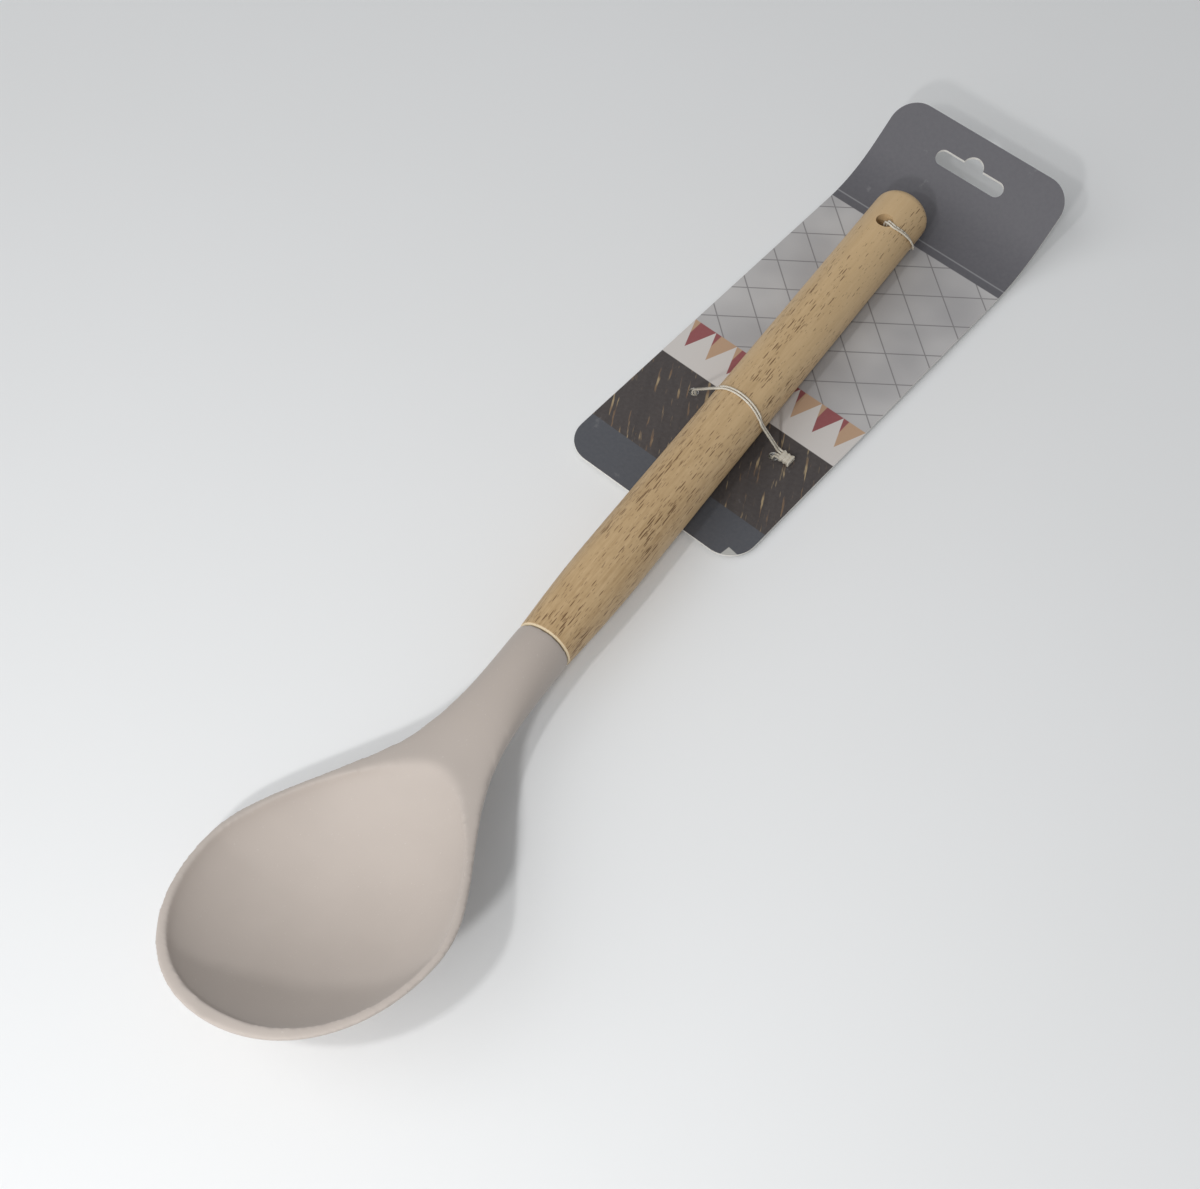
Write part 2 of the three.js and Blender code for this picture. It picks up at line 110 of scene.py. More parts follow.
class Wire:
    def __init__(self, tree, socket=None):
        self.tree = tree
        self.socket = socket

    def node(self, kind, settings=None, inputs=None, out=0):
        made = self.tree.nodes.new(kind)
        for name, value in (settings or {}).items():
            setattr(made, name, value)
        for name, value in (inputs or {}).items():
            if isinstance(value, Wire):
                self.tree.links.new(value.socket, made.inputs[name])
            else:
                made.inputs[name].default_value = value
        return Wire(self.tree, made.outputs[out] if made.outputs else None)

    def sum(self, operation, first, second=0.0):
        return self.node("ShaderNodeMath", {"operation": operation}, {0: first, 1: second})

    def __add__(self, other):
        return self.sum("ADD", self, other)

    def __sub__(self, other):
        return self.sum("SUBTRACT", self, other)

    def __rsub__(self, other):
        return self.sum("SUBTRACT", other, self)

    def __mul__(self, other):
        return self.sum("MULTIPLY", self, other)

    __radd__ = __add__
    __rmul__ = __mul__

    def over(self, edge, soft):
        """0 below edge and 1 above it, blurred over the width soft"""
        inputs = {"Value": self, "From Min": edge - soft / 2, "From Max": edge + soft / 2}
        return self.node("ShaderNodeMapRange", {"interpolation_type": "SMOOTHSTEP"}, inputs)

    def blend(self, colour, other):
        """colour where this mask is 0 and other where it is 1"""
        return self.node("ShaderNodeMix", {"data_type": "RGBA"}, {0: self, 6: colour, 7: other}, out=2)


def start_finish(name, roughness):
    material = bpy.data.materials.new(name)
    material.use_nodes = True
    material.node_tree.nodes.clear()
    wire = Wire(material.node_tree)
    surface = wire.node("ShaderNodeBsdfPrincipled", inputs={"Roughness": roughness})
    wire.node("ShaderNodeOutputMaterial", inputs={"Surface": surface})
    return material, wire, surface.socket.node


def connect(wire, shader, **sockets):
    for name, value in sockets.items():
        wire.tree.links.new(value.socket, shader.inputs[name.replace("_", " ")])


def place_of(wire):
    return wire.node("ShaderNodeTexCoord", out=3)


def stretched(place, size, turn=(0, 0, 0), start=(0, 0, 0)):
    """place measured from start, turned back, in steps of size"""
    inputs = {"Vector": place, "Location": start, "Rotation": turn, "Scale": size}
    return place.node("ShaderNodeMapping", {"vector_type": "TEXTURE"}, inputs)


def noise(place, scale, detail=3.0, rough=0.5):
    return place.node("ShaderNodeTexNoise", inputs={
        "Vector": place, "Scale": scale, "Detail": detail, "Roughness": rough})


def bump(height, strength, depth):
    return height.node("ShaderNodeBump", inputs={"Height": height, "Strength": strength, "Distance": depth})


print("shader sums ready")

# %% [markdown]
# The table is a plain white sheet, only faintly uneven in tone. It is stage and no part of the spoon, so a
# flat grid, much wider than the picture, is enough.

# %% Table
TABLE_HALF = 1.6
table_mesh = bmesh.new()
bmesh.ops.create_grid(table_mesh, x_segments=4, y_segments=4, size=TABLE_HALF)
table_data = bpy.data.meshes.new("table")
table_mesh.to_mesh(table_data)
table_mesh.free()
table = bpy.data.objects.new("table", table_data)
scene.collection.objects.link(table)

table_finish, wire, shader = start_finish("pale_table", 0.6)
place = place_of(wire)
connect(wire, shader, Base_Color=noise(place, 9.0, 4.0).blend(srgb(238, 239, 240), srgb(235, 236, 236)))
table_data.materials.append(table_finish)
print("table", table.dimensions[:])

# %% [markdown]
# The photograph has light of three kinds: a bright wall on the bowl's side, wide and low, which shades
# the hollow, and two small lamps close to the bowl's end of the table, a near one and a far one. They cast
# a pair of crisp shadows, longer at the card than at the bowl, and leave the far corner of the table darker.
# An even world fills the rest. Powers are shares of the light on the table, so colours come out as written.

# %% Room light
LIT_PLACE = Vector((0, -30, 10)) * MM
WORLD_SHARE = 0.36


def area_lamp(name, azimuth, elevation, distance, width, share):
    back = direction(math.radians(azimuth), math.radians(elevation))
    lamp = bpy.data.lights.new(name, "AREA")
    lamp.size = width
    lamp.energy = share * math.pi ** 2 * distance ** 2 / math.sin(math.radians(elevation))
    holder = bpy.data.objects.new(name, lamp)
    turn = back.to_track_quat("Z", "Y").to_matrix().to_4x4()
    holder.matrix_world = Matrix.Translation(LIT_PLACE + distance * back) @ turn
    scene.collection.objects.link(holder)
    return holder


bright_wall = area_lamp("bright_wall", azimuth=-30, elevation=40, distance=2.6, width=3.0, share=0.33)
near_lamp = area_lamp("near_lamp", azimuth=-1.5, elevation=54.5, distance=0.52, width=0.026, share=0.14)
far_lamp = area_lamp("far_lamp", azimuth=12.5, elevation=39.5, distance=0.65, width=0.04, share=0.17)
world = bpy.data.worlds.new("room")
world.use_nodes = True
world.node_tree.nodes["Background"].inputs["Color"].default_value = (0.97, 0.985, 1.0, 1.0)
world.node_tree.nodes["Background"].inputs["Strength"].default_value = WORLD_SHARE
scene.world = world
print("lamps", [round(lamp.data.energy, 2) for lamp in (bright_wall, near_lamp, far_lamp)])

# %% [markdown]
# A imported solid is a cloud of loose, flat-shaded triangles. Where its shape is already right, a copy is
# merged at its doubles and shaded smooth, with a crease kept on every edge that really is an edge.

# %% Smooth copies of solids
def new_piece(name, mesh, body, *finishes):
    data = bpy.data.meshes.new(name)
    mesh.to_mesh(data)
    mesh.free()
    for finish in finishes:
        data.materials.append(finish)
    piece = bpy.data.objects.new(name, data)
    scene.collection.objects.link(piece)
    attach(piece, body)
    return piece


def crease(mesh, degrees):
    for face in mesh.faces:
        face.smooth = True
    for edge in mesh.edges:
        edge.smooth = edge.calc_face_angle(math.pi) < math.radians(degrees)


MERGE_DISTANCE = 0.002 * MM


def merged_solid(node):
    mesh = bmesh.new()
    mesh.from_mesh(frame["nodes"][node].data)
    bmesh.ops.remove_doubles(mesh, verts=mesh.verts, dist=MERGE_DISTANCE)
    return mesh


print("copy helpers ready")

# %% [markdown]
# Everything on the spoon is measured from the joint of neck and handle. The frame's hinge runs along the
# handle and starts at the wood's end face, so the handle's own frame is worked out from it, in millimetres.

# %% Handle's own frame
hinge = frame["joints"][0]
HANDLE_AXIS = Vector(hinge["axis"])
SEAT_GAP = 0.3
JOINT = Vector(hinge["pos_m"]) / MM - SEAT_GAP * HANDLE_AXIS
HANDLE_SLOPE = math.atan2(HANDLE_AXIS.z, HANDLE_AXIS.y)
handle_frame = Matrix.Translation(JOINT) @ Matrix.Rotation(HANDLE_SLOPE, 4, "X")
print("joint", [round(c, 2) for c in JOINT], "slope", round(math.degrees(HANDLE_SLOPE), 2))

# %% [markdown]
# The handle is turned from a pale hardwood. Its grain runs along it, with slow bands of colour, fine fibres
# and the short dark dashes of its pores, crowded in some places and near the joint. Noise and cells in solid
# coordinates, stretched along the handle, give all of these on the sides, in the hole and across the butt
# alike, which a flat picture of wood would not. The thin chamfer at the joint catches the light, and that
# highlight is painted on as a pale ring.

# %% Wood finish
wood, wire, shader = start_finish("turned_wood", 0.5)
place = place_of(wire)


def grain(size_across, size_along):
    size = Vector((size_across, size_along, size_across)) * MM
    return stretched(place, size, (HANDLE_SLOPE, 0, 0), JOINT * MM)


THINNING = 0.22
PORE_EDGE = 0.09
HIGHLIGHT_END = 0.7


def dashes(size_across, size_along, crowding, share):
    """Dashes of about that size, each filling a share of its cell and shrunk away where nothing crowds"""
    inputs = {"Vector": grain(size_across, size_along), "Scale": 1.0}
    cells = wire.node("ShaderNodeTexVoronoi", inputs=inputs)
    return 1 - (cells + THINNING - THINNING * crowding).over(share, PORE_EDGE)


bands = noise(grain(11, 160), 1.0, 3.0)
fibres = noise(grain(0.6, 20), 1.0, 4.0, 0.65)
mottle = noise(grain(1.0, 2.6), 1.0, 3.0, 0.6)
from_joint = wire.node("ShaderNodeSeparateXYZ", inputs={"Vector": grain(1, 1)}, out=1)
# painted highlight: a pale ring where the joint's chamfer catches the light
painted_chamfer_highlight = 1 - from_joint.over(HIGHLIGHT_END, 0.2)
near_joint = 1 - from_joint.over(32, 44)
towards_butt = from_joint.over(90, 160)
clusters = noise(grain(7, 34), 1.0, 3.0).over(0.5, 0.34)
crowding = clusters + 0.3 * near_joint - 0.12 * towards_butt
long_pores = dashes(0.62, 7.5, crowding, 0.29)
short_pores = dashes(0.42, 3.2, crowding, 0.3)
pores = wire.sum("MAXIMUM", long_pores, 0.65 * short_pores)

paleness = 0.6 * bands.over(0.5, 0.5) + 0.4 * towards_butt + 0.1 - 0.2 * crowding
body_tone = paleness.blend(srgb(158, 129, 90), srgb(204, 174, 131))
fibre_tone = (1.5 * fibres + 0.6 * mottle - 0.75).blend(body_tone, srgb(210, 182, 142))
pore_tone = (pores * 0.85).blend(fibre_tone, srgb(98, 68, 40))
connect(
    wire, shader,
    Base_Color=(painted_chamfer_highlight * 0.7).blend(pore_tone, srgb(224, 209, 178)),
    Roughness=0.52 - 0.1 * fibres + 0.15 * pores,
    Normal=bump(fibres * 0.3 - pores, 0.3, 0.1 * MM),
)
shader.inputs["Specular IOR Level"].default_value = 0.4
print("wood nodes", len(wire.tree.nodes))

# %% [markdown]
# The handle's solid is already turned finely enough, with its chamfer, its hanging hole and its round butt.
# It could be spun again from a profile, but then the hole would have to be cut again too, so a copy of the
# solid is shaded smooth, with creases at the chamfer, round the hole and at the end face.

# %% Handle
handle_mesh = merged_solid("handle")
crease(handle_mesh, degrees=28)
handle = new_piece("wooden_handle", handle_mesh, "spoon", wood)
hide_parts("handle")
print("handle faces", len(handle.data.polygons))

# %% [markdown]
# The head is one soft moulding: a round neck that flattens and widens into a deep bowl with a thick rim.
# The solid has it in coarse facets, and a subdivision of those would keep their dents. So the outlines are
# drawn again by formula, in millimetres from the joint towards the tip. The bowl is a tenth of a millimetre
# shallower than in the solid, whose flat facets cut off the round underside.

# %% Outlines of the head
HEAD_LENGTH = 130.5
HEAD_TURN = math.radians(15.7)
NECK_RADIUS = 8.0
NECK_FLARE = 1.6
NECK_BEND = 53.0
BOWL_TILT = math.radians(5.5)
BOWL_HALF = 37.4
BOWL_DEPTH = 22.9
HOLLOW_DEPTH = 17.5
WIDEST_AT = 90.0
DEEPEST_AT = 88.0
RIM_SIDE = 2.3
RIM_ROUND = 1.0
TIP_POWER = 2.12
SHOULDER_POWER = 1.6
KEEL_POWER = 1.9
MOUTH_NECK_POWER = 1.5
NECK_SECTION = 0.5
BOWL_SECTION = 0.85
HOLLOW_SECTION = 0.7
RIM_TIP = 3.6
MOUTH_FROM = 45.8
MOUTH_TO = HEAD_LENGTH - RIM_TIP


def clamp(value):
    return min(max(value, 0.0), 1.0)


def quarter(t, power=2.0):
    return (1 - clamp(abs(t)) ** power) ** (1 / power)


def rise(t, power=1.0):
    return math.sin(math.pi / 2 * clamp(t) ** power) ** 2


def rim_height(d):
    slope = math.tan(BOWL_TILT)
    return slope * d * d / (2 * NECK_BEND) if d < NECK_BEND else slope * (d - NECK_BEND / 2)


def half_width(d):
    if d >= WIDEST_AT:
        return BOWL_HALF * quarter((d - WIDEST_AT) / (HEAD_LENGTH - WIDEST_AT), TIP_POWER)
    t = d / WIDEST_AT
    return NECK_RADIUS + NECK_FLARE * t + (BOWL_HALF - NECK_RADIUS - NECK_FLARE) * rise(t, SHOULDER_POWER)


def section_share(across, d):
    power = NECK_SECTION + (BOWL_SECTION - NECK_SECTION) * rise(d / WIDEST_AT)
    return (1 - clamp(across * across)) ** power


def underside_depth(d):
    if d >= DEEPEST_AT:
        return BOWL_DEPTH * section_share((d - DEEPEST_AT) / (HEAD_LENGTH - DEEPEST_AT), HEAD_LENGTH)
    return NECK_RADIUS + (BOWL_DEPTH - NECK_RADIUS) * rise(d / DEEPEST_AT, KEEL_POWER)


def crown_height(d):
    return NECK_RADIUS + (RIM_ROUND - NECK_RADIUS) * rise(d / MOUTH_FROM)


def mouth_half(d):
    widest = BOWL_HALF - RIM_SIDE
    if d >= WIDEST_AT:
        return widest * quarter((d - WIDEST_AT) / (MOUTH_TO - WIDEST_AT), TIP_POWER)
    return widest * quarter((WIDEST_AT - d) / (WIDEST_AT - MOUTH_FROM), MOUTH_NECK_POWER)


def hollow_share(across):
    return (1 - clamp(across * across)) ** HOLLOW_SECTION


def hollow_depth(d):
    if d >= WIDEST_AT:
        return HOLLOW_DEPTH * hollow_share((d - WIDEST_AT) / (MOUTH_TO - WIDEST_AT))
    return HOLLOW_DEPTH * math.sin(math.pi / 2 * clamp((d - MOUTH_FROM) / (WIDEST_AT - MOUTH_FROM)))


print("bowl", 2 * BOWL_HALF, "mm wide, mouth", round(2 * mouth_half(WIDEST_AT), 1), "mm")

# %% [markdown]
# Across the neck the moulding is round, and across the bowl it is a wide, deep dish. Each section is a
# circle pulled into that shape, and the sections are bridged into one skin. They stand closer together
# towards the tip, where the outline turns fastest. A second loft, with a lid above the rim, will cut the
# hollow.

# %% Sections of the head
UP_TO_WIDEST = 0.6
LID_CLEARANCE = 2


def stations(start, widest, end, count):
    for i in range(count + 1):
        share = i / count
        if share < UP_TO_WIDEST:
            yield start + (widest - start) * share / UP_TO_WIDEST
        else:
            towards_tip = (share - UP_TO_WIDEST) / (1 - UP_TO_WIDEST)
            yield widest + (end - widest) * math.sin(math.pi / 2 * towards_tip)


def outer_section(d, points):
    for i in range(points):
        across = math.cos(2 * math.pi * i / points)
        lift = crown_height(d) * quarter(across)
        if i > points / 2:
            lift = -underside_depth(d) * section_share(across, d)
        yield Vector((half_width(d) * across, -d, rim_height(d) + lift))


def hollow_section(d, points):
    """Half of the points along the hollow's floor, the others up, across and down the lid"""
    for i in range(points):
        share = i / points
        across = math.cos(2 * math.pi * share)
        lift = -hollow_depth(d) * hollow_share(across)
        if share > 0.5:
            lap = 6 * (share - 0.5)
            across = min(max(2 * lap - 3, -1), 1)
            lift = (RIM_ROUND + LID_CLEARANCE) * min(lap, 3 - lap, 1)
        yield Vector((mouth_half(d) * across, -d, rim_height(d) + lift))


def loft(sections):
    mesh = bmesh.new()
    before = None
    for section in sections:
        spots = list(section)
        ring = bmesh.ops.create_circle(mesh, segments=len(spots), radius=1)["verts"]
        for vertex, spot in zip(ring, spots):
            vertex.co = spot
        edges = list({edge for vertex in ring for edge in vertex.link_edges})
        if before:
            bmesh.ops.bridge_loops(mesh, edges=before + edges)
        before = edges
    bmesh.ops.holes_fill(mesh, edges=[edge for edge in mesh.edges if edge.is_boundary])
    bmesh.ops.recalc_face_normals(mesh, faces=mesh.faces)
    return mesh


head_frame = handle_frame @ Matrix.Rotation(-HEAD_TURN, 4, "Y")
in_place = Matrix.Scale(MM, 4) @ head_frame
NECK_END = -0.05
JUST_INSIDE = 0.02
SECTION_POINTS = 144
outer_stations = stations(NECK_END, WIDEST_AT, HEAD_LENGTH - JUST_INSIDE, count=120)
hollow_stations = stations(MOUTH_FROM + JUST_INSIDE, WIDEST_AT, MOUTH_TO - JUST_INSIDE, count=90)
outer = loft(outer_section(d, SECTION_POINTS) for d in outer_stations)
hollow = loft(hollow_section(d, SECTION_POINTS) for d in hollow_stations)
ASKEW_TURN = math.radians(38)
ASKEW_AXIS = Vector((1, 0.55, 0.2))
askew = Matrix.Rotation(ASKEW_TURN, 4, ASKEW_AXIS)
for mesh in (outer, hollow):
    mesh.transform(askew @ in_place)
print("sections bridged:", len(outer.faces), "outside,", len(hollow.faces), "hollow")

# %% [markdown]
# Silicone is matte and slightly waxy: it scatters light broadly, shows a faint bloom at grazing angles and
# keeps small smudges and dust. The neck is painted a touch darker than the bowl: painted shade, where the
# neck turns away from the light.
# Fine noise in the bump keeps it from looking like paint.

# %% Silicone finish
silicone, wire, shader = start_finish("warm_grey_silicone", 0.62)
place = place_of(wire)
clouds = noise(place, 38.0, 3.0)
dust = noise(place, 1400.0, 2.0).over(0.72, 0.06)
bowl_tone = clouds.over(0.5, 0.6).blend(srgb(184, 174, 166), srgb(190, 180, 172))
# painted shade: the neck is darkened towards the joint, where it faces away from the light
NECK_SHADE_FROM = -85 * MM
NECK_SHADE_FADE = 40 * MM
along_spoon = wire.node("ShaderNodeSeparateXYZ", inputs={"Vector": place}, out=1)
painted_neck_shade = along_spoon.over(NECK_SHADE_FROM, NECK_SHADE_FADE)
tone = painted_neck_shade.blend(bowl_tone, srgb(172, 162, 154))
connect(
    wire, shader,
    Base_Color=(dust * 0.2).blend(tone, srgb(224, 220, 214)),
    Roughness=0.58 + 0.12 * clouds,
    Normal=bump(noise(place, 2600.0, 2.0) + 0.5 * noise(place, 300.0, 2.0), 0.08, 0.05 * MM),
)
shader.inputs["Sheen Weight"].default_value = 0.15
shader.inputs["Sheen Roughness"].default_value = 0.5
shader.inputs["Specular IOR Level"].default_value = 0.4
print("silicone nodes", len(wire.tree.nodes))

# %% [markdown]
# The hollow is cut with a Boolean, and a fine voxel remesh with a little smoothing then rounds every edge
# of the rim, as the mould does. Voxels level with the rim would leave steps along it, so the head is askew
# to them while this is done. Where the hollow runs out into the neck the real edge is softer still, so the
# vertices near it are smoothed again, closer in each time.

# %% Silicone head
VOXEL_SIZE = 0.5 * MM
RIM_SMOOTHING = 12


def settled(piece):
    bpy.context.view_layer.update()
    return bpy.data.meshes.new_from_object(piece.evaluated_get(bpy.context.evaluated_depsgraph_get()))


head = new_piece("silicone_spoon_head", outer, "spoon", silicone)
cutter = new_piece("hollow_cutter", hollow, "spoon", silicone)
cut = head.modifiers.new("hollow", "BOOLEAN")
cut.object = cutter
cut.solver = "EXACT"
fine = head.modifiers.new("fine", "REMESH")
fine.mode = "VOXEL"
fine.voxel_size = VOXEL_SIZE
soft = head.modifiers.new("soft", "SMOOTH")
soft.factor = 0.5
soft.iterations = RIM_SMOOTHING
head_data = settled(head)
head_data.transform(askew.inverted())
head.modifiers.clear()
bpy.data.objects.remove(cutter)

mouth_end = in_place @ Vector((0, -MOUTH_FROM, rim_height(MOUTH_FROM) + RIM_ROUND))
mesh = bmesh.new()
mesh.from_mesh(head_data)
for reach, passes in ((20, 12), (15, 18), (11, 24)):
    near = [vertex for vertex in mesh.verts if (vertex.co - mouth_end).length < reach * MM]
    for _ in range(passes):
        bmesh.ops.smooth_vert(
            mesh, verts=near, factor=0.5, use_axis_x=True, use_axis_y=True, use_axis_z=True)
for face in mesh.faces:
    face.smooth = True
mesh.to_mesh(head_data)
mesh.free()
head.data = head_data
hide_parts("silicone_head")
print("head faces", len(head_data.polygons), "materials", len(head_data.materials))

# %% [markdown]
# The stiff core is moulded in and can't be seen, so its solid stays as it is with a plain moulded finish.

# %% Core finish
core_finish, wire, shader = start_finish("moulded_core", 0.55)
place = place_of(wire)
FLOW_SIZE = Vector((17, 83, 17)) * MM
flow = noise(stretched(place, FLOW_SIZE), 1.0, 2.0)
connect(wire, shader, Base_Color=flow.blend(srgb(132, 134, 137), srgb(146, 148, 150)))
core = frame["nodes"]["head_core"]
core.data.materials.clear()
core.data.materials.append(core_finish)
print("core finish on", core.name)

# %% [markdown]
# The card is printed on one side: a charcoal header, a pale panel with a fine diamond lattice, a row of
# pennants, a dark panel with warm hatching and a slate foot. The print has to follow the bend, so each
# corner of the mesh gets a UV place: how far across and how far along the unrolled card, in decimetres.

# %% Card print
card_print, wire, shader = start_finish("card_print", 0.42)
uv = wire.node("ShaderNodeUVMap", {"uv_map": "print"})
DECIMETRE = 100.0
across = wire.node("ShaderNodeSeparateXYZ", inputs={"Vector": uv}) * DECIMETRE
along = wire.node("ShaderNodeSeparateXYZ", inputs={"Vector": uv}, out=1) * DECIMETRE
FOOT_TOP, HATCH_TOP, PENNANT_TOP, LATTICE_TOP = 14.0, 46.0, 62.0, 131.0
LATTICE_PITCH = 15.0
LATTICE_LEAN = 0.8
LATTICE_LINE = 0.5
PENNANT_HALF = 4.0
PENNANT_STEEPNESS = 2.6
RULE_ABOVE_LATTICE = 3.0
BEYOND_CARD = 400.0
PRINT_EDGE = 0.3


def stripe(value, period, width, soft):
    """1 on lines of that width at every period, 0 between"""
    saw = value.node("ShaderNodeMath", {"operation": "PINGPONG"}, {0: value, 1: period / 2})
    return 1 - saw.over(width / 2, soft)


lattice_a = stripe(along + LATTICE_LEAN * across, LATTICE_PITCH, LATTICE_LINE, PRINT_EDGE)
lattice_b = stripe(along - LATTICE_LEAN * across, LATTICE_PITCH, LATTICE_LINE, PRINT_EDGE)
lattice = wire.sum("MAXIMUM", lattice_a, lattice_b)
shade = noise(uv, 3.2, 2.0).over(0.5, 0.5)
pale = shade.blend(srgb(164, 162, 163), srgb(197, 195, 194))
pale_panel = (lattice * 0.75).blend(pale, srgb(112, 109, 110))

tooth = wire.node("ShaderNodeMath", {"operation": "PINGPONG"}, {0: across + BEYOND_CARD, 1: PENNANT_HALF})
pennant = (tooth * PENNANT_STEEPNESS - (PENNANT_TOP - along)).over(0.0, 0.4)
every_other = stripe(across + 2.0, 4 * PENNANT_HALF, 2 * PENNANT_HALF, PRINT_EDGE)
rose_and_tan = every_other.blend(srgb(146, 80, 82), srgb(184, 152, 124))
pennants = pennant.blend(srgb(208, 203, 199), rose_and_tan)

HATCH_TURN = (0, 0, 0.5)
strokes = noise(stretched(uv, (0.012, 0.13, 1), HATCH_TURN), 1.0, 3.0, 0.6).over(0.62, 0.08)
warm = noise(uv, 14.0, 1.0).over(0.52, 0.2).blend(srgb(128, 102, 76), srgb(184, 162, 124))
streaks = noise(stretched(uv, (0.03, 0.4, 1), HATCH_TURN), 1.0, 3.0)
planks = streaks.blend(srgb(58, 53, 53), srgb(80, 73, 71))
dark_panel = (strokes * 0.75).blend(planks, warm)

foot = along.over(FOOT_TOP, PRINT_EDGE).blend(srgb(80, 82, 88), dark_panel)
low = along.over(HATCH_TOP, PRINT_EDGE).blend(foot, pennants)
middle = along.over(PENNANT_TOP, PRINT_EDGE).blend(low, pale_panel)
rule = stripe(along - (LATTICE_TOP + RULE_ABOVE_LATTICE), BEYOND_CARD, 0.5, 0.2)
header = (rule * 0.5).blend(srgb(92, 91, 96), srgb(162, 162, 164))
inked = along.over(LATTICE_TOP, PRINT_EDGE).blend(middle, header)
print("card print zones drawn")

# %% [markdown]
# The card has been handled: the print is faintly scuffed, and at one corner of the foot the ink has come
# away in a small triangle that shows the grey board. Fine fibres dull the sheen. The bare corner could be
# cut into the mesh, but nothing stands out from the sheet there, so masks on the print are enough.

# %% Card wear and paper grain
paper_place = place_of(wire)
fibre = noise(paper_place, 900.0, 3.0)
scuff = noise(paper_place, 120.0, 4.0, 0.65).over(0.70, 0.08)
worn = (scuff * 0.12).blend(inked, srgb(188, 187, 186))
BARE_CORNER = (28.5, 1.9)
BARE_SIZE = 2.7
INWARD = (-0.61, 0.79)
from_corner = (across - BARE_CORNER[0], along - BARE_CORNER[1])
inward = from_corner[0] * INWARD[0] + from_corner[1] * INWARD[1]
sideways = from_corner[0] * INWARD[1] - from_corner[1] * INWARD[0]
bare = 1 - (inward + wire.sum("ABSOLUTE", sideways)).over(BARE_SIZE, 0.3)
peeled = bare.blend(worn, srgb(186, 186, 182))
connect(
    wire, shader,
    Base_Color=(fibre * 0.06).blend(peeled, srgb(205, 204, 203)),
    Roughness=0.40 + 0.18 * fibre,
    Normal=bump(fibre, 0.06, 0.05 * MM),
)
shader.inputs["Specular IOR Level"].default_value = 0.35
card_paper, wire, shader = start_finish("card_paper", 0.8)
place = place_of(wire)
fibre = noise(place, 700.0, 4.0)
flecks = noise(place, 420.0, 1.0).over(0.7, 0.04)
pulp = fibre.blend(srgb(208, 205, 199), srgb(226, 224, 219))
connect(
    wire, shader,
    Base_Color=(flecks * 0.35).blend(pulp, srgb(170, 166, 160)),
    Normal=bump(fibre, 0.2, 0.05 * MM),
)
print("paper finishes ready")

# %% [markdown]
# The card's solid already has the bend, the round corners, the hanging slot and the tie holes. Its copy is
# given the print on faces that look up, bare paper on its back and edges, and UVs unrolled round the bend.

# %% Backing card
CARD_TURN = math.radians(-6.3)
BEND_AT = 129.4
BEND_RADIUS = 39.0
BEND_ANGLE = math.radians(36.7)


def unrolled(run):
    """Distance along the card for a distance along the table"""
    past = run - BEND_AT
    if past <= 0:
        return run
    curve = BEND_RADIUS * math.sin(BEND_ANGLE)
    if past <= curve:
        return BEND_AT + BEND_RADIUS * math.asin(past / BEND_RADIUS)
    return BEND_AT + BEND_RADIUS * BEND_ANGLE + (past - curve) / math.cos(BEND_ANGLE)


card_mesh = merged_solid("backing_card")
crease(card_mesh, degrees=30)
flat = Matrix.Rotation(-CARD_TURN, 4, "Z")
spots = [flat @ vertex.co / MM for vertex in card_mesh.verts]
middle_line = (min(s.x for s in spots) + max(s.x for s in spots)) / 2
lower_edge = min(s.y for s in spots)
card_frame = flat.inverted() @ Matrix.Translation((middle_line, lower_edge, 0))
print_map = card_mesh.loops.layers.uv.new("print")
for face in card_mesh.faces:
    face.material_index = 0 if face.normal.z > 0.5 else 1
    for loop in face.loops:
        spot = flat @ loop.vert.co / MM
        unrolled_spot = Vector((spot.x - middle_line, unrolled(spot.y - lower_edge)))
        loop[print_map].uv = unrolled_spot / DECIMETRE
card = new_piece("printed_card", card_mesh, "card", card_print, card_paper)
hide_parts("backing_card")
print("card faces", len(card.data.polygons), "middle", round(middle_line, 2), "edge", round(lower_edge, 2))

# %% [markdown]
# Each tie is a pair of thin clear plastic strands lying side by side. The plastic is milky rather than like
# glass: most light is scattered back, some goes through, and the surface keeps a clean highlight.

# %% Clear plastic finish
clear, wire, shader = start_finish("clear_tie", 0.2)
place = place_of(wire)
haze = noise(place, 260.0, 2.0)
connect(
    wire, shader,
    Base_Color=haze.blend(srgb(232, 224, 207), srgb(244, 238, 225)),
    Roughness=0.16 + 0.12 * haze,
)
shader.inputs["Transmission Weight"].default_value = 0.35
shader.inputs["IOR"].default_value = 1.46
print("clear plastic nodes", len(wire.tree.nodes))

# %% [markdown]
# The strands are taut, so their route follows from what they touch: straight to the handle, round it,
# straight to a hole in the card and back behind it. It could be drawn point by point, but worked out on the
# card, x across it and y along it, it stays on the handle. First come the helpers for the turn round it.

# %% Round the handle
HANDLE_LENGTH = 195.7
GRIP_RADIUS = 8.9
HANG_HOLE_FROM_BUTT = 16.4
HANG_HOLE_AT = HANDLE_LENGTH - HANG_HOLE_FROM_BUTT
STRAND_RADIUS = 0.31
STRAND_SPREAD = 0.46
STRAND_CLEARANCE = 0.05
TURN_RADIUS = GRIP_RADIUS + STRAND_RADIUS + STRAND_CLEARANCE
TURN_STEP = math.radians(9)
CARD_TOP = 2.2
BEHIND_CARD = 0.6
on_card = card_frame.inverted()
axis_on_card = on_card.to_3x3() @ HANDLE_AXIS


def spoon_point(x, y, z):
    return on_card @ (handle_frame @ Vector((x, y, z)))


def leaving_angle(centre, point, side):
    """Angle at which a taut strand leaves the handle for a point beside it"""
    away = point - centre
    return math.atan2(away.z, away.x) + side * math.acos(TURN_RADIUS / math.hypot(away.x, away.z))


def round_handle(first, last, start, end):
    steps = math.ceil(abs(end - start) / TURN_STEP)
    for i in range(steps + 1):
        angle = start + (end - start) * i / steps
        yield first.lerp(last, i / steps) + TURN_RADIUS * Vector((math.cos(angle), 0, math.sin(angle)))


print("hanging hole on the card", [round(c, 1) for c in spoon_point(0, HANG_HOLE_AT, 0)])

